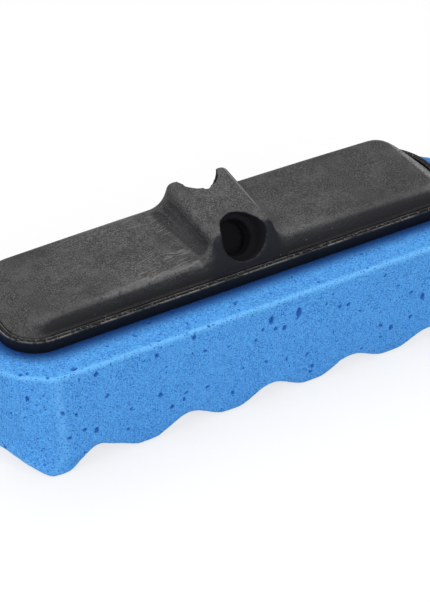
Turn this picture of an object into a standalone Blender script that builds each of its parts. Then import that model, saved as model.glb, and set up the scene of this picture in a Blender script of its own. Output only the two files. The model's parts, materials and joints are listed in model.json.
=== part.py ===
# Sponge brush: a foam block with a waved underside under a black two-part plastic back.
# The back's hub holds two slanted handle sockets. Lengths are in metres, +Z is up.
# The origin is on the floor under the middle of the sponge, and X runs along its length.

import math

import bmesh
import bpy
from mathutils import Matrix, Vector

# Sponge
SPONGE_LENGTH = 0.285
SPONGE_WIDTH = 0.095
SPONGE_THICKNESS = 0.060
SPONGE_FRONT_CUT = 0.0225
SPONGE_REAR_CUT = 0.028
SPONGE_EDGE_ROUNDING = 0.0025
WAVE_PITCH = 0.0475
WAVE_DEPTH = 0.0095
WAVE_SHARPNESS = 1.35
CREST_FLAT_DEPTH = 0.0005
STEPS_PER_WAVE = 14

# Clearance between pieces that touch
TOUCH_GAP = 0.0003

# Glue sheet between the sponge and the base tray
GLUE_THICKNESS = 0.0009
GLUE_MARGIN = 0.0035

# The strip of sponge that shows behind the back, which sits nearer to the sponge's rear edge
REAR_STRIP = 0.005

# Base tray, whose rim is the flange round the foot of the back
TRAY_LENGTH = 0.260
TRAY_WIDTH = 0.070
TRAY_CORNER_RADIUS = 0.0195
TRAY_REAR_CORNER_RADIUS = 0.033
TRAY_RIM_HEIGHT = 0.0065
TRAY_RIM_THICKNESS = 0.0033
TRAY_FLOOR_THICKNESS = 0.0025
TRAY_EDGE_BEVEL = 0.0005
RIM_GROOVE = 0.0006

# Cap: the raised block on the tray
PLATEAU_LENGTH = 0.231
PLATEAU_WIDTH = 0.0544
PLATEAU_HEIGHT = 0.0165
PLATEAU_CROWN = 0.0017
PLATEAU_CORNER_RADIUS = 0.006
PLATEAU_REAR_CORNER_RADIUS = 0.0075
PLATEAU_EDGE_ROUNDING = 0.0035
CAP_FOOT_HEIGHT = 0.0018
CAP_FOOT_STEP = 0.0008
CAP_FOOT_RISE = 0.0004
CAP_ROOF = 0.0040
CAP_WALL = 0.0026
RIB_THICKNESS = 0.0022
SPINE_THICKNESS = 0.0024
CELLS_PER_SIDE = 4
CELL_END_MARGIN = 0.0075
CELL_SIDE_MARGIN = 0.0013

# Hub
HUB_HALF_WIDTH = 0.0176
HUB_SHOULDER_ROUNDING = 0.0036
HUB_FILLET = 0.0115
HUB_FILLET_SINK = 0.0004
HUB_END_ROUNDING = 0.0032
HUB_REAR_HEIGHT = 0.031
HUB_FRONT_HEIGHT = 0.0256
HUB_FOOT_INSET = 0.0010
HUB_FRONT_DRAFT = 0.290
HUB_REAR_DRAFT = 0.205
CORE_HALF_WIDTH = 0.0205
CORE_HALF_DEPTH = 0.0270
CORE_WINDOW_GAP = 0.0004

# Handle sockets in the hub
SOCKET_RADIUS = 0.01225
THREAD_BORE_RADIUS = 0.0095
SOCKET_FLOOR = 0.0018
THREAD_LENGTH = 0.0110
FRONT_SOCKET_ANGLE = math.radians(34.0)
FRONT_SOCKET_DROP = 0.0037
FRONT_SOCKET_DEPTH = 0.0127
REAR_SOCKET_ANGLE = math.radians(47.0)
REAR_SOCKET_DROP = 0.0052
REAR_SOCKET_DEPTH = 0.0160

# Screws that hold the cap on the tray
SCREW_HEAD_RADIUS = 0.0034
SCREW_HEAD_HEIGHT = 0.0019
SCREW_SHANK_RADIUS = 0.00175
SCREW_LENGTH = 0.0100
SCREW_TIP = 0.0015
SCREW_SLOT_WIDTH = 0.0011
SCREW_SLOT_LENGTH = 0.0040
SCREW_SLOT_DEPTH = 0.0009
BOSS_RADIUS = 0.0042
OUTER_SCREW_Y = 0.0150

# Facets
CORNER_STEPS = 7
EDGE_STEPS = 4
STRAIGHT_STEPS = 10
ROUND_SIDES = 40
SCREW_SIDES = 16

# How far a cutter goes past the surface that it opens, and the distance at which points merge
PAST = 0.004
MERGE_DISTANCE = 0.000001

# Levels and places that follow from the sizes above
BACK_OFFSET = SPONGE_WIDTH / 2 - REAR_STRIP - TRAY_WIDTH / 2
TRAY_BOTTOM = SPONGE_THICKNESS + TOUCH_GAP
RECESS_TOP = TRAY_BOTTOM + GLUE_THICKNESS + TOUCH_GAP
TRAY_FLOOR_TOP = RECESS_TOP + TRAY_FLOOR_THICKNESS
TRAY_TOP = TRAY_BOTTOM + TRAY_RIM_HEIGHT
CAP_BOTTOM = TRAY_FLOOR_TOP + TOUCH_GAP
FOOT_TOP = CAP_BOTTOM + CAP_FOOT_HEIGHT
PLATEAU_TOP = SPONGE_THICKNESS + PLATEAU_HEIGHT
CELL_ROOF = PLATEAU_TOP - CAP_ROOF
FOOT_INSET = TRAY_RIM_THICKNESS + RIM_GROOVE
FOOT_HALF_WIDTH = TRAY_WIDTH / 2 - FOOT_INSET
HUB_BASE_Y = FOOT_HALF_WIDTH - HUB_FOOT_INSET
HUB_REAR_TOP = SPONGE_THICKNESS + HUB_REAR_HEIGHT
HUB_FRONT_TOP = SPONGE_THICKNESS + HUB_FRONT_HEIGHT
HUB_FOOT_LEVEL = CELL_ROOF + HUB_FILLET_SINK
SOCKET_FLOOR_LEVEL = RECESS_TOP + SOCKET_FLOOR


def clear_scene():
    for obj in list(bpy.data.objects):
        bpy.data.objects.remove(obj, do_unlink=True)


def make_material(name, color, roughness, metallic=0.0):
    material = bpy.data.materials.new(name)
    material.use_nodes = True
    shader = material.node_tree.nodes["Principled BSDF"]
    shader.inputs["Base Color"].default_value = (*color, 1.0)
    shader.inputs["Roughness"].default_value = roughness
    shader.inputs["Metallic"].default_value = metallic
    return material


def add_object(name, form, material=None, sharp_angle=30.0):
    bmesh.ops.recalc_face_normals(form, faces=form.faces)
    mesh = bpy.data.meshes.new(name)
    form.to_mesh(mesh)
    form.free()
    mesh.shade_smooth()
    mesh.set_sharp_from_angle(angle=math.radians(sharp_angle))
    obj = bpy.data.objects.new(name, mesh)
    bpy.context.scene.collection.objects.link(obj)
    if material:
        mesh.materials.append(material)
    return obj


def as_helper(obj):
    obj.hide_render = True
    obj.display_type = "WIRE"
    return obj


def combine(obj, other, operation):
    modifier = obj.modifiers.new(operation.title() + " " + other.name, "BOOLEAN")
    modifier.operation = operation
    modifier.object = as_helper(other)
    modifier.solver = "EXACT"


def box_matrix(low, high):
    middle = (Vector(low) + Vector(high)) / 2
    size = Vector(high) - Vector(low)
    return Matrix.Translation(middle) @ Matrix.Diagonal((*size, 1.0))


def box(name, low, high):
    form = bmesh.new()
    bmesh.ops.create_cube(form, size=1.0)
    bmesh.ops.transform(form, matrix=box_matrix(low, high), verts=form.verts)
    return add_object(name, form)


def loft(rings, close_start=True, close_end=True):
    # Each ring is a list of points in the same order, and neighbours are joined by quads.
    form = bmesh.new()
    rows = [[form.verts.new(point) for point in ring] for ring in rings]
    for lower, upper in zip(rows, rows[1:]):
        for i in range(len(lower)):
            j = (i + 1) % len(lower)
            form.faces.new((lower[i], lower[j], upper[j], upper[i]))
    if close_start:
        form.faces.new(list(reversed(rows[0])))
    if close_end:
        form.faces.new(rows[-1])
    return form


# Rounded rectangles, as a rear side of stations along X and a front side in the other order

def stations(half_length, half_width, radius):
    corner = [
        (
            half_length - radius + radius * math.cos(math.pi / 2 * step / CORNER_STEPS),
            half_width - radius + radius * math.sin(math.pi / 2 * step / CORNER_STEPS),
        )
        for step in range(CORNER_STEPS + 1)
    ]
    straight = half_length - radius
    middle = [
        (straight - 2 * straight * step / STRAIGHT_STEPS, half_width)
        for step in range(1, STRAIGHT_STEPS)
    ]
    return corner + middle + [(-x, y) for x, y in reversed(corner)]


def outline(half_length, half_width, front_radius, rear_radius):
    rear = stations(half_length, half_width, rear_radius)
    front = stations(half_length, half_width, front_radius)
    return rear + [(x, -y) for x, y in reversed(front)]


def ladder(form, count, at_start):
    # Closes a ring with one quad between each pair of stations, so that the face follows a crown.
    form.verts.ensure_lookup_table()
    first = 0 if at_start else len(form.verts) - 2 * count
    for i in range(count - 1):
        corners = (first + i, first + i + 1, first + 2 * count - 2 - i, first + 2 * count - 1 - i)
        form.faces.new([form.verts[k] for k in corners])


def level_ring(points, height):
    return [Vector((x, y, height)) for x, y in points]


def slab(name, layers, material=None):
    # layers: (inset from the tray's outer wall, height) from the bottom up
    return add_object(name, loft([level_ring(tray_outline(inset), z) for inset, z in layers]), material)


def turned(name, profile, sides, material=None, placed=None):
    # profile: (radius, height) up the axis, starting and ending on it
    form = bmesh.new()
    points = [form.verts.new((radius, 0, height)) for radius, height in profile]
    edges = [form.edges.new(pair) for pair in zip(points, points[1:])]
    bmesh.ops.spin(
        form,
        geom=points + edges,
        axis=(0, 0, 1),
        cent=(0, 0, 0),
        angle=2 * math.pi,
        steps=sides,
        use_merge=True,
    )
    bmesh.ops.remove_doubles(form, verts=form.verts, dist=MERGE_DISTANCE)
    if placed:
        bmesh.ops.transform(form, matrix=placed, verts=form.verts)
    return add_object(name, form, material)


# Sponge

def wave_height(x):
    swing = (1 + math.cos(2 * math.pi * x / WAVE_PITCH)) / 2
    return max(0.0, (WAVE_DEPTH + CREST_FLAT_DEPTH) * swing**WAVE_SHARPNESS - CREST_FLAT_DEPTH)


def corner_cut(x, length):
    return max(0.0, abs(x) - (SPONGE_LENGTH / 2 - length))


def sponge_section(x, inset):
    rear_side = SPONGE_WIDTH / 2 - inset - corner_cut(x, SPONGE_REAR_CUT)
    front_side = SPONGE_WIDTH / 2 - inset - corner_cut(x, SPONGE_FRONT_CUT)
    low = wave_height(x) + inset
    high = SPONGE_THICKNESS - inset
    soft = SPONGE_EDGE_ROUNDING
    turn = soft * (1 - math.sqrt(0.5))
    corner = [
        (soft, low),
        (turn, low + turn),
        (0.0, low + soft),
        (0.0, high - soft),
        (turn, high - turn),
        (soft, high),
    ]
    rear = [Vector((x, rear_side - away, z)) for away, z in corner]
    front = [Vector((x, away - front_side, z)) for away, z in reversed(corner)]
    return rear + front


def sponge_places():
    # Even steps along the waves, with the corner cuts' starts and the ends of the edge rounding
    half = SPONGE_LENGTH / 2
    step = WAVE_PITCH / STEPS_PER_WAVE
    inner = half - SPONGE_EDGE_ROUNDING
    ends = [inner, half - SPONGE_FRONT_CUT, half - SPONGE_REAR_CUT]
    count = int(inner / step)
    exact = [side * place for place in ends for side in (-1, 1)]
    even = [i * step for i in range(-count, count + 1)]
    return sorted(exact + [x for x in even if min(abs(x - place) for place in exact) > step / 4])


def make_sponge(material):
    half = SPONGE_LENGTH / 2
    soft = SPONGE_EDGE_ROUNDING
    turn = soft * (1 - math.sqrt(0.5))
    left = [sponge_section(-half, soft), sponge_section(-half + turn, turn)]
    right = [sponge_section(half - turn, turn), sponge_section(half, soft)]
    middle = [sponge_section(x, 0.0) for x in sponge_places()]
    return add_object("sponge_block", loft(left + middle + right), material)


# Glue sheet and base tray

def tray_outline(inset):
    return outline(
        TRAY_LENGTH / 2 - inset,
        TRAY_WIDTH / 2 - inset,
        TRAY_CORNER_RADIUS - inset,
        TRAY_REAR_CORNER_RADIUS - inset,
    )


def make_glue(material):
    layers = [(GLUE_MARGIN, TRAY_BOTTOM), (GLUE_MARGIN, TRAY_BOTTOM + GLUE_THICKNESS)]
    return slab("glue_sheet", layers, material)


def make_tray(material):
    edge = TRAY_EDGE_BEVEL
    tray = slab(
        "base_tray",
        [
            (edge, TRAY_BOTTOM),
            (0.0, TRAY_BOTTOM + edge),
            (0.0, TRAY_TOP - edge),
            (edge, TRAY_TOP),
        ],
        material,
    )
    pocket = [(TRAY_RIM_THICKNESS, TRAY_FLOOR_TOP), (TRAY_RIM_THICKNESS, TRAY_TOP + PAST)]
    combine(tray, slab("tray_pocket_cutter", pocket), "DIFFERENCE")
    recess_edge = GLUE_MARGIN - TOUCH_GAP
    recess = [(recess_edge, TRAY_BOTTOM - PAST), (recess_edge, RECESS_TOP)]
    combine(tray, slab("glue_recess_cutter", recess), "DIFFERENCE")
    window_x = CORE_HALF_WIDTH + CORE_WINDOW_GAP
    window_y = CORE_HALF_DEPTH + CORE_WINDOW_GAP
    low = (-window_x, -window_y, RECESS_TOP - PAST)
    high = (window_x, window_y, TRAY_FLOOR_TOP + PAST)
    combine(tray, box("core_window_cutter", low, high), "DIFFERENCE")
    for place in screw_places():
        combine(tray, screw_hole("tray_hole_cutter", place, TOUCH_GAP), "DIFFERENCE")
    return tray


# Cap

def crown_height(x):
    return PLATEAU_TOP - PLATEAU_CROWN * (2 * x / PLATEAU_LENGTH) ** 2


def plateau_outline(inset):
    return outline(
        PLATEAU_LENGTH / 2 - inset,
        PLATEAU_WIDTH / 2 - inset,
        PLATEAU_CORNER_RADIUS - inset,
        PLATEAU_REAR_CORNER_RADIUS - inset,
    )


def blend_outline(share):
    # Points between the foot's outline and the plateau's, at the heights of the sloped side
    foot = tray_outline(FOOT_INSET + CAP_FOOT_STEP)
    top = plateau_outline(0.0)
    low = FOOT_TOP + CAP_FOOT_RISE
    points = []
    for (x0, y0), (x1, y1) in zip(foot, top):
        start = Vector((x0, y0, low))
        points.append(start.lerp(Vector((x1, y1, crown_height(x1))), share))
    return points


def plateau_rounding():
    # A quadratic bend from the sloped side over the plateau's edge onto its top
    soft = PLATEAU_EDGE_ROUNDING
    slope_end = blend_outline(1 - soft / (PLATEAU_TOP - FOOT_TOP))
    edge = blend_outline(1.0)
    flat = [Vector((x, y, crown_height(x))) for x, y in plateau_outline(soft)]
    rings = []
    for step in range(EDGE_STEPS + 1):
        t = step / EDGE_STEPS
        ring = [
            (1 - t) ** 2 * a + 2 * t * (1 - t) * b + t * t * c
            for a, b, c in zip(slope_end, edge, flat)
        ]
        rings.append(ring)
    return rings


def cap_body():
    foot = tray_outline(FOOT_INSET)
    rings = [level_ring(foot, CAP_BOTTOM), level_ring(foot, FOOT_TOP), blend_outline(0.0)]
    rings += plateau_rounding()
    count = len(rings[0]) // 2
    form = loft(rings, close_start=False, close_end=False)
    ladder(form, count, at_start=True)
    ladder(form, count, at_start=False)
    return form


def face_y(z, facing):
    # The hub's faces run on from the plateau's sloped sides. Above it the rear one (facing 1) is steeper.
    upper = HUB_FRONT_DRAFT if facing < 0 else HUB_REAR_DRAFT
    lean = HUB_FRONT_DRAFT * (min(z, PLATEAU_TOP) - FOOT_TOP) + upper * max(0.0, z - PLATEAU_TOP)
    return facing * (HUB_BASE_Y - lean)


def hub_crest(share):
    return HUB_FRONT_TOP + (HUB_REAR_TOP - HUB_FRONT_TOP) * share


def bend(center, radius, start, end):
    # Points on an arc in (x, z), between two angles in degrees
    angles = [math.radians(start + (end - start) * step / EDGE_STEPS) for step in range(EDGE_STEPS + 1)]
    return [(center[0] + radius * math.cos(a), center[1] + radius * math.sin(a)) for a in angles]


def hub_side(top, inset):
    # The right side in (x, z): over the shoulder, down the wall and through the hollow to the plateau
    shoulder = HUB_SHOULDER_ROUNDING
    base = PLATEAU_TOP - HUB_FILLET_SINK
    fillet = min(HUB_FILLET, top - shoulder - base)
    outer = bend((HUB_HALF_WIDTH - shoulder, top - shoulder), shoulder - inset, 90, 0)
    hollow = bend((HUB_HALF_WIDTH + fillet, base + fillet), fillet + inset, 180, 270)
    return outer + hollow + [(HUB_HALF_WIDTH + fillet, HUB_FOOT_LEVEL)]


def hub_ring(share, inset):
    # share runs from 0 at the front face to 1 at the rear face
    ring = []
    for x, z in hub_side(hub_crest(share), inset):
        front = face_y(z, -1)
        ring.append(Vector((x, front + (face_y(z, 1) - front) * share, z)))
    return ring + [Vector((-p.x, p.y, p.z)) for p in reversed(ring)]


def hub_body():
    soft = HUB_END_ROUNDING
    depth = face_y(HUB_REAR_TOP, 1) - face_y(HUB_FRONT_TOP, -1)
    ends = []
    for step in range(EDGE_STEPS):
        angle = math.pi / 2 * step / EDGE_STEPS
        ends.append((soft * (1 - math.cos(angle)) / depth, soft * (1 - math.sin(angle))))
    middle = [(soft / depth + (1 - 2 * soft / depth) * step / 4, 0.0) for step in range(5)]
    plan = ends + middle + [(1 - share, inset) for share, inset in reversed(ends)]
    form = loft([hub_ring(share, inset) for share, inset in plan], close_start=False, close_end=False)
    count = len(form.verts) // len(plan) // 2
    ladder(form, count, at_start=True)
    ladder(form, count, at_start=False)
    return form


def socket_cutter(name, level, angle, facing, depth):
    # The axis rises at the angle, towards the front (facing -1) or the rear (facing 1).
    # The lower end is cut off level, above the hub's underside.
    end = depth + THREAD_LENGTH
    clear = HUB_REAR_HEIGHT
    profile = [
        (0.0, -end),
        (THREAD_BORE_RADIUS, -end),
        (THREAD_BORE_RADIUS, -depth),
        (SOCKET_RADIUS, -depth),
        (SOCKET_RADIUS, clear),
        (0.0, clear),
    ]
    tilt = Matrix.Rotation(-facing * (math.pi / 2 - angle), 4, "X")
    mouth = Matrix.Translation(socket_mouth(level, facing))
    cutter = turned(name, profile, ROUND_SIDES, placed=mouth @ tilt)
    reach = 4 * clear
    low = (-reach, -reach, SOCKET_FLOOR_LEVEL)
    high = (reach, reach, reach)
    combine(cutter, box(name + "_limit", low, high), "INTERSECT")
    return cutter


def socket_mouth(level, facing):
    # Where the socket's axis meets the hub's face
    return Vector((0.0, face_y(level, facing), level))


def cell_bounds():
    # The start and end along X of each hollow cell on the right half
    start = CORE_HALF_WIDTH + CAP_WALL
    end = PLATEAU_LENGTH / 2 - CELL_END_MARGIN
    pitch = (end - start + RIB_THICKNESS) / CELLS_PER_SIDE
    lows = [start + i * pitch for i in range(CELLS_PER_SIDE)]
    return [(low, low + pitch - RIB_THICKNESS) for low in lows]


def rib_centers():
    return [low - RIB_THICKNESS / 2 for low, high in cell_bounds()[1:]]


def cell_cutter():
    form = bmesh.new()
    near = SPINE_THICKNESS / 2
    far = PLATEAU_WIDTH / 2 - CELL_SIDE_MARGIN
    spans_x = [span for low, high in cell_bounds() for span in ((low, high), (-high, -low))]
    for x0, x1 in spans_x:
        for y0, y1 in ((near, far), (-far, -near)):
            made = bmesh.ops.create_cube(form, size=1.0)
            place = box_matrix((x0, y0, CAP_BOTTOM - PAST), (x1, y1, CELL_ROOF))
            bmesh.ops.transform(form, matrix=place, verts=made["verts"])
    return add_object("cell_cutter", form)


def screw_places():
    ribs = rib_centers()
    outer = [(sx * ribs[-1], sy * OUTER_SCREW_Y) for sx in (-1, 1) for sy in (-1, 1)]
    return outer + [(-ribs[0], 0.0), (ribs[0], 0.0)]


def screw_hole(name, place, gap):
    # The space of one screw: countersink, shank and tip, wider than the screw by the gap
    head = SCREW_HEAD_RADIUS + gap
    shank = SCREW_SHANK_RADIUS + gap
    profile = [
        (0.0, -PAST),
        (head, -PAST),
        (head, gap),
        (shank, SCREW_HEAD_HEIGHT + gap),
        (shank, SCREW_LENGTH + gap),
        (0.0, SCREW_LENGTH + gap),
    ]
    level = Vector((*place, RECESS_TOP))
    return turned(name, profile, SCREW_SIDES, placed=Matrix.Translation(level))


def boss(place):
    # Longer than the cells are deep, because it is taken out of their cutter
    low = CAP_BOTTOM - 2 * PAST
    high = CELL_ROOF + PAST
    profile = [(0.0, low), (BOSS_RADIUS, low), (BOSS_RADIUS, high), (0.0, high)]
    return turned("screw_boss", profile, SCREW_SIDES, placed=Matrix.Translation((*place, 0.0)))


def make_cap(material):
    cap = add_object("cap_with_hub", cap_body(), material)
    cells = cell_cutter()
    for place in screw_places():
        combine(cells, boss(place), "DIFFERENCE")
    combine(cap, cells, "DIFFERENCE")
    core_low = (-CORE_HALF_WIDTH, -CORE_HALF_DEPTH, RECESS_TOP)
    core_high = (CORE_HALF_WIDTH, CORE_HALF_DEPTH, CELL_ROOF + CAP_ROOF / 2)
    combine(cap, box("hub_core", core_low, core_high), "UNION")
    combine(cap, add_object("hub_block", hub_body()), "UNION")
    for place in screw_places():
        combine(cap, screw_hole("cap_pilot_cutter", place, TOUCH_GAP), "DIFFERENCE")
    front_level = HUB_FRONT_TOP - FRONT_SOCKET_DROP
    rear_level = HUB_REAR_TOP - REAR_SOCKET_DROP
    front = ("front_socket_cutter", front_level, FRONT_SOCKET_ANGLE, -1, FRONT_SOCKET_DEPTH)
    rear = ("rear_socket_cutter", rear_level, REAR_SOCKET_ANGLE, 1, REAR_SOCKET_DEPTH)
    for socket in (front, rear):
        combine(cap, socket_cutter(*socket), "DIFFERENCE")
    return cap


# Screws

def make_screw(number, place, material):
    profile = [
        (0.0, 0.0),
        (SCREW_HEAD_RADIUS, 0.0),
        (SCREW_SHANK_RADIUS, SCREW_HEAD_HEIGHT),
        (SCREW_SHANK_RADIUS, SCREW_LENGTH - SCREW_TIP),
        (0.0, SCREW_LENGTH),
    ]
    screw = turned(f"tray_screw_{number}", profile, SCREW_SIDES, material)
    screw.location = (*place, RECESS_TOP)
    long = SCREW_SLOT_LENGTH / 2
    short = SCREW_SLOT_WIDTH / 2
    for x, y in ((long, short), (short, long)):
        slot = box("screw_slot_cutter", (-x, -y, -PAST), (x, y, SCREW_SLOT_DEPTH))
        slot.parent = screw
        combine(screw, slot, "DIFFERENCE")
    return screw


def seat_back(sponge):
    # All but the sponge is modelled round the tray's middle, and one empty sets it back on the sponge.
    seat = bpy.data.objects.new("back_seat", None)
    bpy.context.scene.collection.objects.link(seat)
    seat.location = (0.0, BACK_OFFSET, 0.0)
    for obj in bpy.data.objects:
        if obj.parent is None and obj not in (sponge, seat):
            obj.parent = seat


def main():
    clear_scene()
    foam = make_material("blue_foam", (0.10, 0.36, 0.83), 0.9)
    glue = make_material("clear_glue", (0.80, 0.76, 0.60), 0.4)
    tray_plastic = make_material("black_tray_plastic", (0.035, 0.035, 0.037), 0.6)
    cap_plastic = make_material("black_cap_plastic", (0.045, 0.045, 0.047), 0.65)
    steel = make_material("zinc_plated_steel", (0.62, 0.62, 0.60), 0.35, 1.0)
    sponge = make_sponge(foam)
    make_glue(glue)
    make_tray(tray_plastic)
    make_cap(cap_plastic)
    for number, place in enumerate(screw_places(), start=1):
        make_screw(number, place, steel)
    seat_back(sponge)


main()
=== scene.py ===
# Sponge brush: a blue foam block with a waved underside, glued under a black moulded back.
# Everything is in metres in the frame's own places: X along the block, Z up.
import json
import math
import random

import bmesh
import bpy
import numpy as np
from mathutils import Matrix, Vector, kdtree, noise


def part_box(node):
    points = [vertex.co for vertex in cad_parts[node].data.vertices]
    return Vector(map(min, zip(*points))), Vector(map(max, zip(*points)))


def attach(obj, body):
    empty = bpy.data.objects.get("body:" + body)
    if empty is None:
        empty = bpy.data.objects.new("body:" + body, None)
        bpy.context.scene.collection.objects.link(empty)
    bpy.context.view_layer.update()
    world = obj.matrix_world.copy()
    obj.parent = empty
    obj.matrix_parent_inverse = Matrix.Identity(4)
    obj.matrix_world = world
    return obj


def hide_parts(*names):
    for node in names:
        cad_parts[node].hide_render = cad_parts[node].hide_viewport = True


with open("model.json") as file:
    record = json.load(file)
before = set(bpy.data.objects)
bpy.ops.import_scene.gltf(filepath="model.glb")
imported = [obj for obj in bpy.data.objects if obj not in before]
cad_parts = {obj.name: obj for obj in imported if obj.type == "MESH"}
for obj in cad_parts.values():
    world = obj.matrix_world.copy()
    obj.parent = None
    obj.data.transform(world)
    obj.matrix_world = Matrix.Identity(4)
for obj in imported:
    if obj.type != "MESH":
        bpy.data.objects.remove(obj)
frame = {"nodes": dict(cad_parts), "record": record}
nodes = frame["nodes"]
scene = bpy.context.scene
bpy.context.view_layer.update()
mm = 0.001
backMiddle = sum(corner.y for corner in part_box("base_tray")) / 2  # the back sits behind the foam's middle
print("Frame loaded:", ", ".join(sorted(nodes)))


# Small node kit: each material is one of these

class Finish:
    def __init__(self, name):
        self.material = bpy.data.materials.new(name)
        self.material.use_nodes = True
        self.tree = self.material.node_tree
        self.shader = self.tree.nodes["Principled BSDF"]
        self.place = self.add("ShaderNodeTexCoord").outputs["Object"]

    def add(self, kind, settings=None):
        node = self.tree.nodes.new(kind)
        for name, value in (settings or {}).items():
            setattr(node, name, value)
        return node

    def plug(self, socket, value):
        if isinstance(value, bpy.types.NodeSocket):
            self.tree.links.new(value, socket)
        elif socket.type == "RGBA":
            socket.default_value = (*value, 1.0)
        else:
            socket.default_value = value

    def attribute(self, name):
        return self.add("ShaderNodeAttribute", {"attribute_name": name}).outputs["Fac"]

    def grain(self, size, detail, roughness=0.55, place=None):
        # soft noise whose features are about this size
        node = self.add("ShaderNodeTexNoise")
        self.plug(node.inputs["Vector"], place or self.place)
        self.plug(node.inputs["Scale"], 1 / size)
        self.plug(node.inputs["Detail"], detail)
        self.plug(node.inputs["Roughness"], roughness)
        return node.outputs["Fac"]

    def cells(self, size):
        # cells of about this size: how far from the middle, and a random number for each
        node = self.add("ShaderNodeTexVoronoi")
        self.plug(node.inputs["Vector"], self.place)
        self.plug(node.inputs["Scale"], 1 / size)
        spread = self.add("ShaderNodeSeparateColor")
        self.plug(spread.inputs[0], node.outputs["Color"])
        return node.outputs["Distance"], spread.outputs[0]

    def step(self, value, start, end):
        # 0 before start and 1 after end, with a soft bend; end may be the smaller
        node = self.add("ShaderNodeMapRange", {"interpolation_type": "SMOOTHSTEP"})
        low, high = (start, end) if start < end else (end, start)
        self.plug(node.inputs["Value"], value)
        self.plug(node.inputs["From Min"], low)
        self.plug(node.inputs["From Max"], high)
        self.plug(node.inputs["To Min"], 0.0 if start < end else 1.0)
        self.plug(node.inputs["To Max"], 1.0 if start < end else 0.0)
        return node.outputs["Result"]

    def maths(self, operation, first, second=0.0):
        node = self.add("ShaderNodeMath", {"operation": operation})
        self.plug(node.inputs[0], first)
        self.plug(node.inputs[1], second)
        return node.outputs[0]

    def times(self, first, second):
        return self.maths("MULTIPLY", first, second)

    def plus(self, first, second):
        return self.maths("ADD", first, second)

    def mix(self, share, first, second):
        node = self.add("ShaderNodeMix", {"data_type": "RGBA"})
        self.plug(node.inputs[0], share)
        self.plug(node.inputs[6], first)
        self.plug(node.inputs[7], second)
        return node.outputs[2]

    def relief(self, height, distance, strength):
        node = self.add("ShaderNodeBump")
        self.plug(node.inputs["Height"], height)
        self.plug(node.inputs["Distance"], distance)
        self.plug(node.inputs["Strength"], strength)
        return node.outputs["Normal"]

    def shifted(self, amount, reach):
        # the place moved sideways by up to this reach
        node = self.add("ShaderNodeVectorMath", {"operation": "MULTIPLY_ADD"})
        self.plug(node.inputs[0], amount)
        node.inputs[1].default_value = (reach, reach, 0)
        self.plug(node.inputs[2], self.place)
        return node.outputs[0]

    def axes(self, place=None):
        node = self.add("ShaderNodeSeparateXYZ")
        self.plug(node.inputs[0], place or self.place)
        return node.outputs

    def set(self, **sockets):
        for name, value in sockets.items():
            self.plug(self.shader.inputs[name.replace("_", " ")], value)
        return self.material


# Mesh helpers

def addPiece(name, form, material=None):
    mesh = bpy.data.meshes.new(name)
    form.to_mesh(mesh)
    form.free()
    piece = bpy.data.objects.new(name, mesh)
    scene.collection.objects.link(piece)
    if material:
        mesh.materials.append(material)
    return piece


def workIn(piece):
    # the piece's modifiers become its mesh
    graph = bpy.context.evaluated_depsgraph_get()
    worked = bpy.data.meshes.new_from_object(piece.evaluated_get(graph))
    piece.modifiers.clear()
    piece.data = worked
    return piece


def remesh(piece, voxel):
    even = piece.modifiers.new("even", "REMESH")
    even.mode = "VOXEL"
    even.voxel_size = voxel
    return workIn(piece)


def cut(piece, cutters):
    for cutter in cutters:
        opening = piece.modifiers.new("opening", "BOOLEAN")
        opening.operation = "DIFFERENCE"
        opening.object = cutter
        opening.solver = "EXACT"
    workIn(piece)
    for cutter in cutters:
        bpy.data.objects.remove(cutter)


def loft(rings):
    # a closed form through rings of equally many points
    form = bmesh.new()
    rows = [[form.verts.new(point) for point in ring] for ring in rings]
    for lower, upper in zip(rows, rows[1:]):
        for i in range(len(lower)):
            j = (i + 1) % len(lower)
            form.faces.new((lower[i], lower[j], upper[j], upper[i]))
    form.faces.new(rows[0][::-1])
    form.faces.new(rows[-1])
    bmesh.ops.recalc_face_normals(form, faces=form.faces)
    return form


def pointsOf(mesh):
    flat = np.empty(len(mesh.vertices) * 3)
    mesh.vertices.foreach_get("co", flat)
    return flat.reshape(-1, 3)


def edgesOf(mesh):
    flat = np.empty(len(mesh.edges) * 2, np.int64)
    mesh.edges.foreach_get("vertices", flat)
    return flat.reshape(-1, 2)


def normalsOf(mesh):
    flat = np.empty(len(mesh.vertices) * 3)
    mesh.vertex_normals.foreach_get("vector", flat)
    return flat.reshape(-1, 3)


def setPoints(mesh, points):
    mesh.vertices.foreach_set("co", points.ravel())
    mesh.update()


def setMark(mesh, name, values):
    # a number at each point, for the materials
    mark = mesh.attributes.new(name, "FLOAT", "POINT")
    mark.data.foreach_set("value", np.asarray(values, np.float32))


def relaxed(points, edges, rounds, weights=None):
    # each round moves a point halfway to the middle of its neighbours
    count = len(points)
    ends = np.concatenate([edges, edges[:, ::-1]])
    neighbours = np.maximum(np.bincount(ends[:, 0], minlength=count), 1)
    share = 0.5 if weights is None else 0.5 * weights[:, None]
    for _ in range(rounds):
        total = [np.bincount(ends[:, 0], points[ends[:, 1], axis], count) for axis in range(3)]
        points = points + share * (np.stack(total, 1) / neighbours[:, None] - points)
    return points


def smoothStep(value, start, end):
    share = np.clip((value - start) / (end - start), 0, 1)
    return share * share * (3 - 2 * share)


def noiseAt(points, size, seed):
    shift = Vector((seed, 2.3 * seed, 4.1 * seed))
    return np.array([noise.noise(Vector(p) / size + shift) for p in points])


# Camera

camera = {
    "place": (-0.4692, -0.7960, 0.7192),
    "lookDown": 36.70,  # degrees below level
    "turn": 30.16,  # degrees from straight on
    "lens": 134.8,
    "sensor": 36.0,
}


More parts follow.
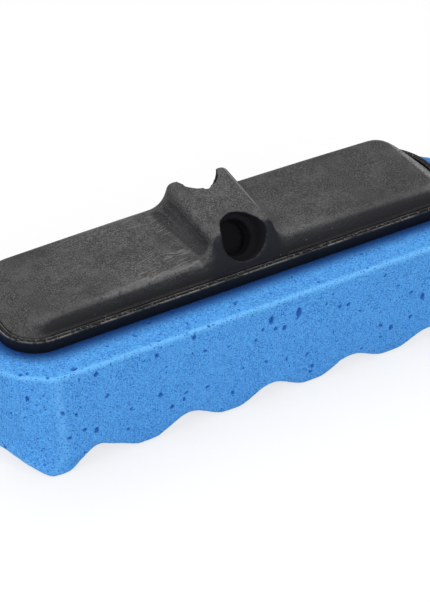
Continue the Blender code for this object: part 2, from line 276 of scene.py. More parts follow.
def makeCamera(c):
    data = bpy.data.cameras.new("productCamera")
    data.lens = c["lens"]
    data.sensor_width = c["sensor"]
    data.clip_start = 0.05
    data.clip_end = 20
    obj = bpy.data.objects.new("productCamera", data)
    obj.location = c["place"]
    obj.rotation_euler = (math.radians(90 - c["lookDown"]), 0, math.radians(-c["turn"]))
    scene.collection.objects.link(obj)
    scene.camera = obj


makeCamera(camera)
print("Camera placed")


# Foam block

foam = {
    "frontCut": 22.6 * mm,
    "cutLean": 4.4 * mm,  # the front cuts are this much longer at the bottom
    "cutSlope": 0.72,
    "cutTurn": 13 * mm,  # from here on a front cut bends round to the end
    "bendRun": 10 * mm,  # and after another run of this length it lies deeper by the drop
    "bendDrop": 9 * mm,
    "footSpread": 8.5 * mm,  # the corner's foot is squeezed out this far
    "footHeight": 14 * mm,
    "rearCut": 28 * mm,
    "wavePitch": 47.5 * mm,
    "waveDepth": 7.5 * mm,
    "waveTaper": 0.0155,  # the waves are deeper towards the left end
    "waveSharpness": 1.2,
    "waveShift": (-95 * mm, 10 * mm, 4.2 * mm),  # the first hollow lies this much further left
    "crestFlat": 0.5 * mm,
    "lowerRounding": 4.5 * mm,
    "sharperEnds": 0.75,  # the rounding is smaller by this share at the ends
    "sharperFrom": (108 * mm, 118 * mm),
    "stepsUp": 6,  # rows of faces up each side
    "voxel": 1.2 * mm,
    "smoothing": 5,
    "unevenness": 0.30 * mm,
    "highlightReach": 3.2 * mm,  # how far the painted highlight spreads from an edge
    "uprightHighlight": 0.25,  # how strong it is there, next to 1 along the top
    "creaseHighlight": 0.35,
    "lowerHighlight": 0.4,
    "shadowReach": 11 * mm,  # painted shadow of the tray: the foam is darker this far out from it
    "shadowTurn": 22 * mm,  # and its outline turns the corners at this radius
    "frontPitGrowth": (1.35, 1.1),  # the listed front pits are pressed this much wider and taller
    "scatteredPits": 520,
    "pitHalfWidth": (0.35 * mm, 0.95 * mm),
    "pitStretch": (1.0, 1.9),
    "pitDepth": 1.3,  # times the pit's half width
    "blue": (0.052, 0.245, 0.650),
    # painted shade in the pores and pits
    "hollowShadeBlue": (0.008, 0.075, 0.380),
    "paleBlue": (0.112, 0.415, 0.890),
    "shadowBlue": (0.004, 0.035, 0.180),
    "highlightBlue": (0.170, 0.520, 0.965),
    "roughness": 0.9,
}

# The larger pits that stand out, in mm: along the block, up its front, half width, half height
frontPits = [
    (-99.2, 54.8, 0.9, 1.1), (-45.6, 56.1, 0.8, 1.2), (-66.3, 53.2, 0.8, 1.1), (-58.4, 18.3, 0.8, 1.2),
    (-64.8, 28.4, 0.8, 1.2), (-80.9, 26.3, 0.6, 0.9), (-106.4, 23.8, 0.8, 0.9), (-99.9, 21.0, 0.8, 1.7),
    (-114.6, 22.1, 0.9, 0.8), (-2.0, 50.0, 1.0, 2.2), (13.9, 48.8, 1.1, 2.6), (5.6, 42.5, 0.9, 1.3),
    (0.3, 44.0, 0.7, 1.0), (-6.8, 46.0, 0.6, 0.9), (43.2, 42.7, 0.8, 1.0), (88.8, 30.7, 0.9, 1.8),
    (70.1, 18.0, 0.9, 1.5), (81.9, 20.3, 0.7, 1.0), (22.8, 11.6, 0.6, 1.0), (7.3, 22.2, 0.5, 1.2),
]
# The same on the top: along the block, in from its front edge, half length, half width
topPits = [
    (-108.9, 3.4, 1.6, 1.1), (-63.8, 2.2, 0.9, 0.6), (-87.2, 11.0, 0.8, 0.6), (-132.8, 12.0, 0.9, 0.9),
    (-122.7, 3.7, 0.8, 0.8), (-127.2, 27.2, 0.8, 0.7), (2.1, 7.9, 0.9, 0.6), (-17.6, 8.9, 0.9, 0.6),
    (58.9, 13.6, 0.9, 0.7), (-53.3, 8.4, 0.7, 0.5),
]


def waveHeight(x, f):
    # how far the underside is off the floor
    place, reach, shift = f["waveShift"]
    moved = x + shift * np.exp(-((x - place) / reach) ** 2)
    swing = ((1 + np.cos(2 * math.pi * moved / f["wavePitch"])) / 2) ** f["waveSharpness"]
    depth = f["waveDepth"] - f["waveTaper"] * x
    return np.maximum(0, (depth + f["crestFlat"]) * swing - f["crestFlat"])


def cutStart(z, size, f, facing):
    # where along the block a corner's cut starts, at a height on its front (facing -1) or rear
    foot = f["footSpread"] * (1 - smoothStep(z, 0, f["footHeight"]))
    front = f["frontCut"] + f["cutLean"] * (1 - z / size.z) - foot
    return size.x / 2 - np.where(facing > 0, f["rearCut"], front)


def foamSide(x, z, size, f, facing):
    # how far the front or rear side is from the middle, at a place along the block and a height
    beyond = np.maximum(0, np.abs(x) - cutStart(z, size, f, facing))
    bend = np.maximum(0, beyond - f["cutTurn"]) / f["bendRun"]
    front = f["cutSlope"] * beyond + f["bendDrop"] * bend ** 2
    return size.y / 2 - np.where(facing > 0, beyond, front)


def foamForm(size, f):
    rings = []
    for x in np.linspace(-size.x / 2, size.x / 2, round(size.x / f["voxel"])):
        low = float(waveHeight(x, f))
        nearEnd = float(smoothStep(abs(x), *f["sharperFrom"]))
        rounding = f["lowerRounding"] * (1 - f["sharperEnds"] * nearEnd)
        ring = []
        for facing in (1, -1):
            side = []
            for turn in (0, 30, 60, 90):
                angle = math.radians(turn)
                side.append((rounding * (1 - math.sin(angle)), low + rounding * (1 - math.cos(angle))))
            start, steps = side[-1][1], f["stepsUp"]
            side += [(0, start + (size.z - start) * step / steps) for step in range(1, steps + 1)]
            half = [(x, facing * (float(foamSide(x, z, size, f, facing)) - away), z) for away, z in side]
            ring += half[::facing]  # up the rear, then down the front
        rings.append(ring)
    return loft(rings)


def pitList(piece, size, f):
    # each pit: middle, two directions across it, half width and half length
    chance = random.Random(7)
    pits = []
    along, back, up = Vector((1, 0, 0)), Vector((0, 1, 0)), Vector((0, 0, 1))
    wider, taller = f["frontPitGrowth"]
    for x, z, half, tall in frontPits:
        middle = Vector((x * mm, -size.y / 2, z * mm))
        pits.append((middle, along, up, wider * half * mm, taller * tall * mm))
    for x, inside, half, deep in topPits:
        middle = Vector((x * mm, inside * mm - size.y / 2, size.z))
        pits.append((middle, along, back, half * mm, deep * mm))
    faces = piece.data.polygons
    for _ in range(f["scatteredPits"]):
        face = faces[chance.randrange(len(faces))]
        across = face.normal.orthogonal().normalized()
        across.rotate(Matrix.Rotation(chance.uniform(0, math.pi), 3, face.normal))
        small, large = f["pitHalfWidth"]
        half = small + (large - small) * chance.random() ** 2.5
        tall = half * chance.uniform(*f["pitStretch"])
        pits.append((face.center.copy(), across, face.normal.cross(across), half, tall))
    return pits


def refineAt(piece, pits, f):
    # more faces where the pits go
    form = bmesh.new()
    form.from_mesh(piece.data)
    tree = kdtree.KDTree(len(form.faces))
    for face in form.faces:
        tree.insert(face.calc_center_median(), face.index)
    tree.balance()
    form.faces.ensure_lookup_table()
    chosen = set()
    for middle, _, _, half, tall in pits:
        reach = max(half, tall) + f["voxel"]
        chosen |= {index for _, index, _ in tree.find_range(middle, reach)}
    edges = {edge for index in chosen for edge in form.faces[index].edges}
    bmesh.ops.subdivide_edges(form, edges=list(edges), cuts=2, use_grid_fill=True)
    form.to_mesh(piece.data)
    form.free()


def pressPits(points, normals, pits, f):
    # the pits are round-bottomed; the mark, painted shade in them, is 1 inside them and fades just outside
    tree = kdtree.KDTree(len(points))
    for index, point in enumerate(points):
        tree.insert(point, index)
    tree.balance()
    depth = np.zeros(len(points))
    mark = np.zeros(len(points))
    for middle, across, along, half, tall in pits:
        for _, index, _ in tree.find_range(middle, 1.4 * max(half, tall)):
            away = Vector(points[index]) - middle
            reach = (away.dot(across) / half) ** 2 + (away.dot(along) / tall) ** 2
            if reach < 1:
                depth[index] = max(depth[index], f["pitDepth"] * half * math.sqrt(1 - reach))
            mark[index] = max(mark[index], float(smoothStep(reach, 1.5, 0.7)))
    return points - normals * depth[:, None], mark


def paintedEdgeHighlight(points, size, f):
    # painted highlight along the edges: strongest along the top edge, and faint along the upright and lower
    # ones
    x, z = np.abs(points[:, 0]), points[:, 2]
    facing = np.sign(points[:, 1])
    side = foamSide(x, z, size, f, facing) - np.abs(points[:, 1])
    end = size.x / 2 - x
    low = z - waveHeight(points[:, 0], f)
    wall = np.minimum(side, end)
    rim = 1 - smoothStep(np.hypot(size.z - z, wall), 0, f["highlightReach"])
    upright = 1 - smoothStep(np.hypot(side, end), 0, f["highlightReach"])
    crease = 1 - smoothStep(np.hypot(side, x - cutStart(z, size, f, facing)), 0, 1.3 * f["highlightReach"])
    lower = 1 - smoothStep(np.hypot(low, wall), 0, 1.6 * f["highlightReach"])
    fainter = [f["uprightHighlight"] * upright, f["creaseHighlight"] * crease, f["lowerHighlight"] * lower]
    return np.maximum.reduce([rim] + fainter)


def paintedTrayShadow(points, size, f):
    # painted shadow of the tray: 1 beside the tray, fading outwards over the top
    low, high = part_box("base_tray")
    turn = f["shadowTurn"]
    beyondX = np.maximum(np.abs(points[:, 0]) - high.x + turn, 0)
    beyondY = np.maximum(np.abs(points[:, 1] - backMiddle) - (high.y - low.y) / 2 + turn, 0)
    away = np.hypot(beyondX, beyondY) - turn
    onTop = smoothStep(points[:, 2], size.z - 3 * mm, size.z)
    return (1 - smoothStep(away, 0.5 * mm, f["shadowReach"])) * onTop


def foamFinish(f):
    m = Finish("blueFoam")
    pitShade, paintedHighlight, paintedShadow = m.attribute("pitShade"), m.attribute("paintedHighlight"), m.attribute("paintedShadow")
    fine = m.grain(0.85 * mm, 2.0, 0.8)
    cloud = m.grain(14 * mm, 2.0)
    # pores: their darker colour is painted shade in the foam's open cells
    near, pick = m.cells(1.3 * mm)
    pore = m.times(m.step(near, 0.38, 0.14), m.step(pick, 0.50, 0.70))
    tinyNear, tinyPick = m.cells(0.7 * mm)
    tiny = m.times(m.step(tinyNear, 0.45, 0.20), m.step(tinyPick, 0.35, 0.8))
    color = m.mix(m.step(fine, 0.41, 0.59), f["blue"], f["paleBlue"])
    color = m.mix(m.times(m.step(cloud, 0.35, 0.7), 0.22), color, f["paleBlue"])
    # painted highlight along the foam's edges
    color = m.mix(paintedHighlight, color, f["highlightBlue"])
    color = m.mix(m.times(tiny, 0.72), color, f["hollowShadeBlue"])
    color = m.mix(m.times(pore, 0.85), color, f["hollowShadeBlue"])
    # painted shadow of the tray on the foam's top
    color = m.mix(m.times(paintedShadow, m.plus(m.times(fine, 0.5), 0.65)), color, f["shadowBlue"])
    # painted shade in the pressed pits
    color = m.mix(m.times(pitShade, 0.72), color, f["hollowShadeBlue"])
    height = m.plus(m.times(fine, 0.6), m.times(m.plus(pore, tiny), -0.5))
    return m.set(Base_Color=color, Roughness=f["roughness"], Specular_IOR_Level=0.15,
                 Normal=m.relief(height, 0.35 * mm, 0.55))


def makeFoam(f):
    low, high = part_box("sponge_block")
    size = high - low
    piece = addPiece("foam_block", foamForm(size, f))
    remesh(piece, f["voxel"])
    edges = edgesOf(piece.data)
    points = relaxed(pointsOf(piece.data), edges, f["smoothing"])
    setPoints(piece.data, points)
    pits = pitList(piece, size, f)
    refineAt(piece, pits, f)
    points, normals = pointsOf(piece.data), normalsOf(piece.data)
    uneven = noiseAt(points, 9 * mm, 3) + 0.5 * noiseAt(points, 3 * mm, 5)
    lift = np.minimum(uneven * f["unevenness"], 0)  # only inwards, so that the block keeps its size
    points, mark = pressPits(points + normals * lift[:, None], normals, pits, f)
    setPoints(piece.data, points)
    setMark(piece.data, "pitShade", mark)
    setMark(piece.data, "paintedHighlight", paintedEdgeHighlight(points, size, f))
    setMark(piece.data, "paintedShadow", paintedTrayShadow(points, size, f))
    piece.data.shade_smooth()
    piece.data.materials.append(foamFinish(f))
    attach(piece, "root")
    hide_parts("sponge_block")
    print("Foam block:", len(piece.data.polygons), "faces,", len(pits), "pits")


makeFoam(foam)


# Cap with its hub and the two handle sockets

cap = {
    "voxel": 0.70 * mm,
    "smoothing": 4,
    "blendRounds": 45,
    "hubHalfWidth": 17.6 * mm,
    "blendReach": 6.0 * mm,
    "blendFrom": (30.5 * mm, 67.5 * mm),  # distance from the back's middle, and level
    "blendTo": (25.5 * mm, 77.5 * mm),
    "wearReach": 6,  # rounds of smoothing that find the rubbed and highlit edges
    "wearBulge": (0.022 * mm, 0.060 * mm),
    "hollowReach": 40,  # and the hollows beside the hub
    "hollowBulge": (0.02 * mm, 0.16 * mm),
    "hollowFrom": (72 * mm, 75 * mm),  # only above these levels
    "rightHollow": 0.2,  # the painted shade in the hollow right of the hub is this faint
    "rubbedAndLitLeft": ((-90 * mm, -70 * mm), (-27 * mm, -20 * mm)),
    "rubbedAndLitRight": (100 * mm, 110 * mm),
    "footLevel": (66 * mm, 68 * mm),  # the cap's foot in the groove ends here
    "mouthRadius": 12.25 * mm,
    "mouthDepth": 12.5 * mm,
    "handled": ((-95 * mm, -55 * mm), (-18 * mm, -30 * mm)),  # scratched between these places
    "dullEnds": ((-60 * mm, -110 * mm), (22 * mm, 55 * mm)),
    "endHighlightFrom": (113 * mm, 116 * mm),
    "seam": 15.2 * mm,  # the moulds meet this far right of the hub's middle
    # one plastic: top is painted light on faces turned up or sideways, side is painted shade on the front-
    # and back-facing slopes
    "top": (0.032, 0.032, 0.034),
    "speck": (0.150, 0.150, 0.150),
    "dull": (0.022, 0.022, 0.024),
    "side": (0.0085, 0.0090, 0.0115),
    "sideSpeck": (0.024, 0.024, 0.027),
    "hubFrontShade": (0.0065, 0.0080, 0.0140),
    "wearAndHighlight": (0.165, 0.164, 0.162),
    "endHighlight": (0.300, 0.298, 0.290),
    "socket": (0.0085, 0.0090, 0.0115),
    "seamHighlightGrey": (0.24, 0.24, 0.24),
    "dust": (0.19, 0.19, 0.18),
}

# Where each socket's step lies and the way out of it
sockets = {}
for mount in frame["record"]["mounts"]:
    if mount["name"].startswith("handle_seat_"):
        end = mount["name"].rsplit("_", 1)[1]
        sockets[end] = {"step": (0, *mount["pos_m"][1:]), "out": mount["axis"]}
thread = {
    "boreRadius": 9.5 * mm,
    "pitch": 5.08 * mm,
    "height": 0.9 * mm,
    "foot": 1.1 * mm,  # half of its width at the wall
    "crest": 0.45 * mm,
    "turns": 1.7,
    "floor": 63.8 * mm,  # nothing of it goes below this level
    "stepsPerTurn": 48,
}


def threadRidge(name, socket, t):
    # a helical ridge with both ends run out into the wall
    out = Vector(socket["out"])
    across = Vector((1, 0, 0))
    up = out.cross(across)
    start = Vector(socket["step"]) - out * (t["pitch"] * 0.45)
    steps = int(t["turns"] * t["stepsPerTurn"])
    wall = t["boreRadius"] + 0.4 * mm
    rings = []
    for i in range(steps + 1):
        angle = 2 * math.pi * i / t["stepsPerTurn"]
        fade = min(1.0, 5 * min(i, steps - i) / t["stepsPerTurn"])
        ray = across * math.cos(angle) + up * math.sin(angle)
        middle = start - out * (t["pitch"] * angle / (2 * math.pi))
        tip = t["boreRadius"] - t["height"] * fade + 0.3 * mm * (1 - fade)
        profile = [(wall, -t["foot"]), (tip, -t["crest"]), (tip, t["crest"]), (wall, t["foot"])]
        rings.append([middle + ray * radius + out * side for radius, side in profile])
    ridge = addPiece(name, loft(rings))
    room = bmesh.new()
    bmesh.ops.create_cube(room, size=0.1)
    bmesh.ops.translate(room, verts=room.verts, vec=(0, 0, t["floor"] + 0.05))
    limit = addPiece("limit", room)
    trim = ridge.modifiers.new("trim", "BOOLEAN")
    trim.operation = "INTERSECT"
    trim.object = limit
    workIn(ridge)
    bpy.data.objects.remove(limit)
    return ridge


def segmentDistance(points, start, end):
    start, end = np.array(start), np.array(end)
    run = end - start
    share = np.clip((points - start) @ run / (run @ run), 0, 1)
    return np.linalg.norm(points - start - share[:, None] * run, axis=1)


def boreDistance(points, socket):
    # how far each point is from the line down the middle of a socket
    out = np.array(socket["out"])
    away = points - np.array(socket["step"])
    return np.linalg.norm(away - np.outer(away @ out, out), axis=1)


def hubBlend(points, c):
    # how much each point takes part in the soft bends where the hub's walls run out on the cap's sides
    weight = np.zeros(len(points))
    (out, level), (outHigh, levelHigh) = c["blendFrom"], c["blendTo"]
    for side in (-1, 1):
        for facing in (-1, 1):
            low = (side * c["hubHalfWidth"], backMiddle + facing * out, level)
            high = (side * (c["hubHalfWidth"] + 3 * mm), backMiddle + facing * outHigh, levelHigh)
            weight = np.maximum(weight, 1 - segmentDistance(points, low, high) / c["blendReach"])
    for socket in sockets.values():
        weight *= smoothStep(boreDistance(points, socket), 12.6 * mm, 14.5 * mm)
    weight *= smoothStep(points[:, 2], *c["footLevel"])
    return np.clip(weight * 1.5, 0, 1)


def capScratches(m, x, c):
    # bent strokes in patches, most of them where the cap is handled
    bent = m.add("ShaderNodeMapping")
    m.plug(bent.inputs["Vector"], m.shifted(m.grain(30 * mm, 1.0), 14 * mm))
    bent.inputs["Scale"].default_value = (0.10, 1.0, 1.0)
    bent.inputs["Rotation"].default_value = (0, 0, math.radians(14))
    stroke = m.step(m.grain(0.8 * mm, 1.0, place=bent.outputs["Vector"]), 0.57, 0.67)
    patch = m.step(m.grain(24 * mm, 2.0), 0.44, 0.58)
    leftSide, rightSide = c["handled"]
    handled = m.times(m.step(x, *leftSide), m.step(x, *rightSide))
    return m.times(m.times(stroke, patch), m.plus(m.times(handled, 0.7), 0.1))


def capTopColor(m, x, fine, cloud, c):
    color = m.mix(m.step(fine, 0.42, 0.66), c["top"], c["speck"])
    color = m.mix(m.times(m.step(cloud, 0.45, 0.68), 0.40), color, c["speck"])
    patch = m.step(m.grain(42 * mm, 2.0), 0.40, 0.70)
    color = m.mix(m.times(patch, 0.45), color, c["dull"])
    color = m.mix(capScratches(m, x, c), color, c["wearAndHighlight"])
    pock = m.times(m.step(m.cells(1.5 * mm)[0], 0.30, 0.12), m.step(cloud, 0.50, 0.62))
    return m.mix(m.times(pock, 0.65), color, c["dull"])


def seamHighlight(m, place, c):
    # painted highlight: a thin pale line up the hub's right side, along the mould seam
    x, y, z = place
    line = m.step(m.maths("ABSOLUTE", m.plus(x, -c["seam"])), 0.45 * mm, 0.15 * mm)
    return m.times(line, m.times(m.step(z, 77 * mm, 80 * mm), m.step(y, -7 * mm, 0.0)))


def capFinish(c):
    m = Finish("blackCapPlastic")
    across, forward, upward = m.axes(m.add("ShaderNodeTexCoord").outputs["Normal"])
    place = m.axes()
    x, _, z = place
    fine = m.grain(0.75 * mm, 3.0, 0.75)
    cloud = m.grain(9 * mm, 4.0, 0.6)
    sideways = m.maths("ABSOLUTE", across)
    # painted light and shade: faces turned up or sideways take the lit top colour, the rest the shaded side
    # colour
    top = m.step(m.plus(upward, m.times(sideways, 0.5)), 0.34, 0.90)
    # painted light rising up the slopes towards the top edge
    top = m.maths("MAXIMUM", top, m.times(m.step(z, 68 * mm, 75.5 * mm), 0.34))
    side = m.mix(m.times(m.step(fine, 0.5, 0.8), 0.35), c["side"], c["sideSpeck"])
    color = m.mix(top, side, capTopColor(m, x, fine, cloud, c))
    # wear with painted highlight along the edges
    rubAndHighlight = m.times(m.attribute("wearAndHighlight"), m.step(m.grain(1.8 * mm, 4.0, 0.8), 0.30, 0.58))
    color = m.mix(m.times(rubAndHighlight, 0.8), color, c["wearAndHighlight"])
    leftEnd, rightEnd = c["dullEnds"]
    ends = m.plus(m.step(x, *leftEnd), m.step(x, *rightEnd))
    color = m.mix(m.times(ends, 0.30), color, c["dull"])
    # painted highlight, mottled, on the sideways slope at the right end
    slope = m.times(m.step(x, *c["endHighlightFrom"]), m.step(sideways, 0.15, 0.40))
    endHighlight = m.times(slope, m.step(m.grain(1.2 * mm, 3.0, 0.7), 0.40, 0.54))
    color = m.mix(m.times(endHighlight, 0.9), color, c["endHighlight"])
    # painted shade on the hub's front, in the hollows beside it and in the sockets, and a painted highlight
    # along its seam
    nearHub = m.step(m.maths("ABSOLUTE", x), 24 * mm, 17 * mm)
    # painted shade on the hub's front-facing walls
    hubFrontShade = m.times(nearHub, m.step(forward, -0.25, -0.65))
    color = m.mix(m.times(hubFrontShade, 0.9), color, c["hubFrontShade"])
    # painted shade in the hollows beside the hub
    color = m.mix(m.times(m.attribute("paintedHollowShade"), 0.65), color, c["side"])
    color = m.mix(m.times(seamHighlight(m, place, c), 0.9), color, c["seamHighlightGrey"])
    near, pick = m.cells(2.6 * mm)
    dust = m.times(m.step(near, 0.20, 0.10), m.step(pick, 0.86, 0.9))
    color = m.mix(m.times(dust, 0.4), color, c["dust"])
    # painted shade inside the sockets
    deep = m.attribute("deep")
    color = m.mix(deep, color, c["socket"])
    rough = m.plus(m.times(top, 0.14), m.plus(m.times(fine, 0.14), 0.36))
    rough = m.plus(rough, m.times(deep, 0.45))
    height = m.plus(m.times(fine, 0.7), m.times(cloud, 0.6))
    return m.set(Base_Color=color, Roughness=rough, Specular_IOR_Level=0.2,
                 Normal=m.relief(height, 0.16 * mm, 0.5))


def socketMark(points, c):
    # painted shade: 1 on the walls and the step inside the sockets
    mark = np.zeros(len(points))
    for socket in sockets.values():
        depth = (points - np.array(socket["step"])) @ np.array(socket["out"])
        edge = c["mouthRadius"] + 0.1 * mm
        inside = 1 - smoothStep(boreDistance(points, socket), edge, edge + 0.4 * mm)
        mark = np.maximum(mark, inside * (depth > -c["mouthDepth"]))
    return mark


def wearAndHighlightShare(points, c):
    # the cap's edge is rubbed and given painted highlight, most left of the hub and at the right end
    x = points[:, 0]
    start, end = c["rubbedAndLitLeft"]
    leftOfHub = smoothStep(x, *start) * (1 - smoothStep(x, *end))
    rightEnd = smoothStep(x, *c["rubbedAndLitRight"])
    offHub = 0.3 + 0.7 * smoothStep(np.abs(x), 20 * mm, 30 * mm)
    facing = np.where(points[:, 1] < backMiddle, 1.0, 0.6)
    return np.maximum((0.45 + 0.55 * leftOfHub) * facing, rightEnd) * offHub


def markWearLightAndShade(mesh, points, edges, c):
    # what bulges is rubbed pale, partly as painted highlight, and what is hollow gets painted shade
    normals = normalsOf(mesh)
    bulge = ((points - relaxed(points, edges, c["wearReach"])) * normals).sum(1)
    wide = ((points - relaxed(points, edges, c["hollowReach"])) * normals).sum(1)
    above = smoothStep(points[:, 2], *c["footLevel"])
    setMark(mesh, "wearAndHighlight", smoothStep(bulge, *c["wearBulge"]) * above * wearAndHighlightShare(points, c))
    high = smoothStep(points[:, 2], *c["hollowFrom"])
    side = np.where(points[:, 0] < 0, 1.0, c["rightHollow"])
    setMark(mesh, "paintedHollowShade", smoothStep(-wide, *c["hollowBulge"]) * high * side)


def makeCap(c):
    source = bmesh.new()
    source.from_mesh(nodes["cap_with_hub"].data)
    bmesh.ops.remove_doubles(source, verts=source.verts, dist=0.001 * mm)
    piece = addPiece("cap_and_hub", source)
    ridges = [threadRidge("ridge_" + name, socket, thread) for name, socket in sockets.items()]
    with bpy.context.temp_override(active_object=piece, selected_editable_objects=[piece] + ridges):
        bpy.ops.object.join()
    remesh(piece, c["voxel"])
    mesh = piece.data
    edges = edgesOf(mesh)
    points = pointsOf(mesh)
    points = relaxed(points, edges, c["smoothing"])
    points = relaxed(points, edges, c["blendRounds"], hubBlend(points, c))
    setPoints(mesh, points)
    markWearLightAndShade(mesh, points, edges, c)
    setMark(mesh, "deep", socketMark(points, c))
    mesh.shade_smooth()
    mesh.materials.clear()
    mesh.materials.append(capFinish(c))
    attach(piece, "root")
    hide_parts("cap_with_hub")
    print("Cap and hub:", len(mesh.polygons), "faces")


makeCap(cap)


# Rimmed tray

tray = {
    "frontRadius": 19.5 * mm,
    "rearRadius": 33.0 * mm,
    "rim": 3.3 * mm,
    "floor": 64.0 * mm,
    "recess": 61.5 * mm,
    "recessMargin": 3.2 * mm,
    "window": (20.9 * mm, 27.4 * mm),  # half sizes of the opening under the sockets
    # lower and upper radius, length, and how far the middle is above the screw's foot
    "screwHole": [(3.8 * mm, 2.1 * mm, 2.6 * mm, 0.9 * mm), (2.05 * mm, 2.05 * mm, 12 * mm, 4 * mm)],
    "station": 1.3 * mm,  # distance between points along the rim
    "unevenness": 0.16 * mm,
    "black": (0.0055, 0.0056, 0.0075),
    "grey": (0.018, 0.018, 0.020),
    "speck": (0.27, 0.265, 0.255),
    "beadHighlight": (0.26, 0.255, 0.24),
}


def rimOutline(size, inset, t):
    # a rounded rectangle round the tray's middle, with points as far apart as the station at its edge
    arcs = []
    for corner, (sx, sy) in enumerate(((1, 1), (-1, 1), (-1, -1), (1, -1))):
        radius = t["rearRadius"] if sy > 0 else t["frontRadius"]
        middle = Vector((sx * (size.x / 2 - radius), backMiddle + sy * (size.y / 2 - radius), 0))
        steps = round(math.pi / 2 * radius / t["station"])
        angles = [math.pi / 2 * (corner + step / steps) for step in range(steps + 1)]
        arcs.append([middle + (radius - inset) * Vector((math.cos(a), math.sin(a), 0)) for a in angles])
    points = []
    for arc, following in zip(arcs, arcs[1:] + arcs[:1]):
        run = following[0] - arc[-1]
        count = round(run.length / t["station"])
        points += arc + [arc[-1] + run * step / count for step in range(1, count)]
    return points


def rimInset(points, size, t):
    # how far in from the outer wall each point is
    x, y = np.abs(points[:, 0]), points[:, 1] - backMiddle
    radius = np.where(y > 0, t["rearRadius"], t["frontRadius"])
    beyondX = np.maximum(x - (size.x / 2 - radius), 0)
    beyondY = np.maximum(np.abs(y) - (size.y / 2 - radius), 0)
    return radius - np.hypot(beyondX, beyondY)


def rimProfile(low, high, t):
    # inset from the outer wall and level, from the recess below, round the rim and down to the floor
    bottom, top, rim = low.z, high.z, t["rim"]
    steps = [
        (0.45, -0.00), (0.75, -0.10), (0.95, -0.34), (1.25, -0.46), (1.65, -0.50), (2.05, -0.50),
        (2.40, -0.44), (2.62, -0.24), (2.82, -0.08), (3.02, -0.12), (3.22, -0.40),
    ]
    lip = [(inset * mm, top + drop * mm) for inset, drop in steps]
    return [
        (t["recessMargin"], t["recess"]), (t["recessMargin"], bottom), (0.45 * mm, bottom),
        (0.1 * mm, bottom + 0.15 * mm), (0, bottom + 0.5 * mm), (0, top - 0.9 * mm),
        (0.05 * mm, top - 0.4 * mm), (0.22 * mm, top - 0.1 * mm), *lip,
        (rim, top - 0.9 * mm), (rim, t["floor"]),
    ]


def screwHoles(t):
    # a sunk place for each screw's head and a hole for its shank, a little wider than the screw
    holes = []
    for name in sorted(nodes):
        if not name.startswith("tray_screw"):
            continue
        low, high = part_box(name)
        middle = (low + high) / 2
        for wide, narrow, depth, lift in t["screwHole"]:
            form = bmesh.new()
            place = Matrix.Translation((middle.x, middle.y, low.z + lift))
            bmesh.ops.create_cone(form, cap_ends=True, segments=24, radius1=wide, radius2=narrow,
                                  depth=depth, matrix=place)
            holes.append(addPiece("hole", form))
    return holes


def coreWindow(t):
    form = bmesh.new()
    bmesh.ops.create_cube(form, size=1)
    bmesh.ops.scale(form, verts=form.verts, vec=(2 * t["window"][0], 2 * t["window"][1], 12 * mm))
    bmesh.ops.translate(form, verts=form.verts, vec=(0, backMiddle, t["floor"]))
    return addPiece("window", form)


def trayFinish(t):
    m = Finish("blackTrayPlastic")
    beadHighlight, lip = m.attribute("beadHighlight"), m.attribute("lip")
    fine = m.grain(0.8 * mm, 3.0, 0.7)
    coarse = m.grain(2.6 * mm, 3.0, 0.7)
    near, pick = m.cells(0.9 * mm)
    chip = m.times(m.step(near, 0.5, 0.2), m.step(pick, 0.5, 0.75))
    long = m.grain(24 * mm, 2.0)
    color = m.mix(m.times(m.step(fine, 0.45, 0.8), 0.4), t["black"], t["grey"])
    color = m.mix(m.times(m.times(lip, chip), 0.75), color, t["speck"])
    # painted highlight along the rim's beads, broken up by noise
    shine = m.times(beadHighlight, m.times(m.step(coarse, 0.30, 0.60), m.step(long, 0.25, 0.6)))
    color = m.mix(m.times(shine, 0.8), color, t["beadHighlight"])
    return m.set(Base_Color=color, Roughness=m.plus(m.times(fine, 0.2), 0.28), Specular_IOR_Level=0.2,
                 Normal=m.relief(m.plus(fine, m.times(m.times(lip, coarse), 1.5)), 0.18 * mm, 0.5))


def makeTray(t):
    low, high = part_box("base_tray")
    size = high - low
    profile = rimProfile(low, high, t)
    rings = []
    for inset, level in profile:
        rings.append([point + Vector((0, 0, level)) for point in rimOutline(size, inset, t)])
    piece = addPiece("rimmed_tray", loft(rings))
    cut(piece, [coreWindow(t)] + screwHoles(t))
    mesh = piece.data
    points = pointsOf(mesh)
    inset = rimInset(points, size, t)
    nearTop = smoothStep(points[:, 2], high.z - 1.0 * mm, high.z - 0.6 * mm)
    lip = smoothStep(inset, 0.7 * mm, 1.0 * mm) * (1 - smoothStep(inset, 2.3 * mm, 2.6 * mm)) * nearTop
    outerBead = 1 - smoothStep(np.abs(inset - 0.35 * mm), 0.15 * mm, 0.4 * mm)
    innerBead = 1 - smoothStep(np.abs(inset - 2.85 * mm), 0.1 * mm, 0.3 * mm)
    rough = noiseAt(points, 1.6 * mm, 2) * t["unevenness"]
    points[:, 2] += rough * lip
    points[:, 2] += 0.4 * rough * innerBead * nearTop - np.abs(0.3 * rough * outerBead * nearTop)
    setPoints(mesh, points)
    setMark(mesh, "lip", lip)
    setMark(mesh, "beadHighlight", np.maximum(outerBead, 0.75 * innerBead) * nearTop)
    mesh.shade_smooth()
    mesh.set_sharp_from_angle(angle=math.radians(50))
    mesh.materials.append(trayFinish(t))
    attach(piece, "root")
    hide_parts("base_tray")
    print("Rimmed tray:", len(mesh.polygons), "faces")


makeTray(tray)


# Glue and screws keep their frame solids

fastening = {
    "thinGlue": (0.55, 0.48, 0.30),
    "thickGlue": (0.80, 0.75, 0.58),
    "dullZinc": (0.55, 0.55, 0.52),
    "brightZinc": (0.72, 0.72, 0.70),
}


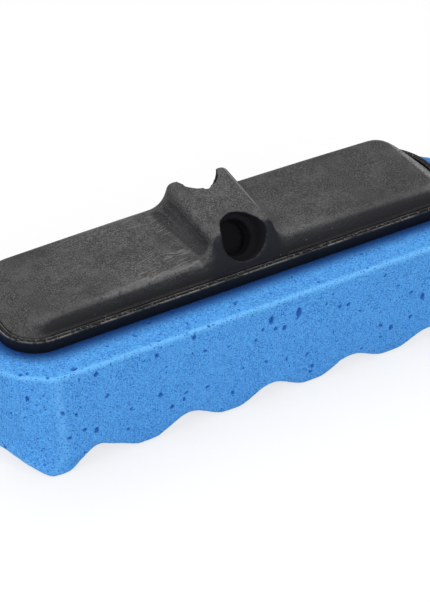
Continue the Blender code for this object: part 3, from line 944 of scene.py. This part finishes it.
def glueFinish(s):
    m = Finish("clearGlue")
    blot = m.grain(6 * mm, 3.0)
    color = m.mix(m.step(blot, 0.35, 0.7), s["thinGlue"], s["thickGlue"])
    return m.set(Base_Color=color, Roughness=0.35, Normal=m.relief(blot, 0.3 * mm, 0.6))


def screwFinish(s):
    m = Finish("zincPlate")
    fine = m.grain(0.5 * mm, 3.0)
    cloud = m.grain(2 * mm, 2.0)
    color = m.mix(m.step(cloud, 0.35, 0.7), s["dullZinc"], s["brightZinc"])
    return m.set(Base_Color=color, Metallic=1.0, Roughness=m.plus(m.times(fine, 0.25), 0.25),
                 Normal=m.relief(fine, 0.05 * mm, 0.4))


glue, zinc = glueFinish(fastening), screwFinish(fastening)
for name, node in nodes.items():
    if name == "glue_sheet" or name.startswith("tray_screw"):
        node.data.materials.clear()
        node.data.materials.append(glue if name == "glue_sheet" else zinc)
print("Glue and screws finished")


# Floor, light and air

studio = {
    "floorSize": 12.0,
    "floorColor": (0.80, 0.80, 0.80),
    "whiteShare": 0.72,  # how much of the floor's white is its own
    "air": 0.42,
    "overhead": {"place": (0.10, 0.55, 1.50), "size": (1.6, 1.2), "power": 10.3},
    "left": {"place": (-1.35, -0.35, 1.05), "size": (1.0, 1.0), "power": 8.0},
    "front": {"place": (-0.15, -1.45, 1.15), "size": (1.4, 0.9), "power": 12.0},
}


def makeFloor(s):
    # pale to the light, and white with the object's shadow to the camera and to gloss
    form = bmesh.new()
    bmesh.ops.create_grid(form, x_segments=1, y_segments=1, size=s["floorSize"] / 2)
    made = bpy.data.materials.new("paleFloor")
    made.use_nodes = True
    tree = made.node_tree
    tree.nodes.clear()
    out = tree.nodes.new("ShaderNodeOutputMaterial")
    path = tree.nodes.new("ShaderNodeLightPath")
    plain = tree.nodes.new("ShaderNodeBsdfDiffuse")
    plain.inputs["Color"].default_value = (*s["floorColor"], 1)
    faint = tree.nodes.new("ShaderNodeBsdfDiffuse")
    rest = 1 - s["whiteShare"]
    faint.inputs["Color"].default_value = (rest, rest, rest, 1)
    white = tree.nodes.new("ShaderNodeEmission")
    white.inputs["Strength"].default_value = s["whiteShare"]
    seen = tree.nodes.new("ShaderNodeAddShader")
    pick = tree.nodes.new("ShaderNodeMixShader")
    glossy = tree.nodes.new("ShaderNodeMath")
    glossy.operation = "MAXIMUM"
    through = tree.nodes.new("ShaderNodeMath")
    through.operation = "MAXIMUM"
    link = tree.links.new
    link(path.outputs["Is Camera Ray"], glossy.inputs[0])
    link(path.outputs["Is Glossy Ray"], glossy.inputs[1])
    link(glossy.outputs[0], through.inputs[0])
    link(path.outputs["Is Transmission Ray"], through.inputs[1])
    link(white.outputs[0], seen.inputs[0])
    link(faint.outputs[0], seen.inputs[1])
    link(through.outputs[0], pick.inputs[0])
    link(plain.outputs[0], pick.inputs[1])
    link(seen.outputs[0], pick.inputs[2])
    link(pick.outputs[0], out.inputs["Surface"])
    floor = addPiece("floor", form, made)
    floor.location.z = -0.2 * mm


def makeAir(s):
    world = bpy.data.worlds.new("studioAir")
    scene.world = world
    world.use_nodes = True
    tree = world.node_tree
    back = tree.nodes["Background"]
    path = tree.nodes.new("ShaderNodeLightPath")
    level = tree.nodes.new("ShaderNodeMapRange")
    level.inputs["To Min"].default_value = s["air"]
    level.inputs["To Max"].default_value = 1.0
    tree.links.new(path.outputs["Is Camera Ray"], level.inputs["Value"])
    tree.links.new(level.outputs[0], back.inputs["Strength"])
    back.inputs["Color"].default_value = (1, 1, 1, 1)


def makeLamp(name, lamp):
    data = bpy.data.lights.new(name, "AREA")
    data.shape = "RECTANGLE"
    data.size, data.size_y = lamp["size"]
    data.energy = lamp["power"]
    obj = bpy.data.objects.new(name, data)
    obj.location = lamp["place"]
    obj.rotation_euler = (Vector((0, 0, 0.04)) - obj.location).to_track_quat("-Z", "Y").to_euler()
    scene.collection.objects.link(obj)


makeFloor(studio)
makeAir(studio)
for name in ("overhead", "left", "front"):
    makeLamp(name, studio[name])
scene.view_settings.view_transform = "Standard"
print("Studio ready")
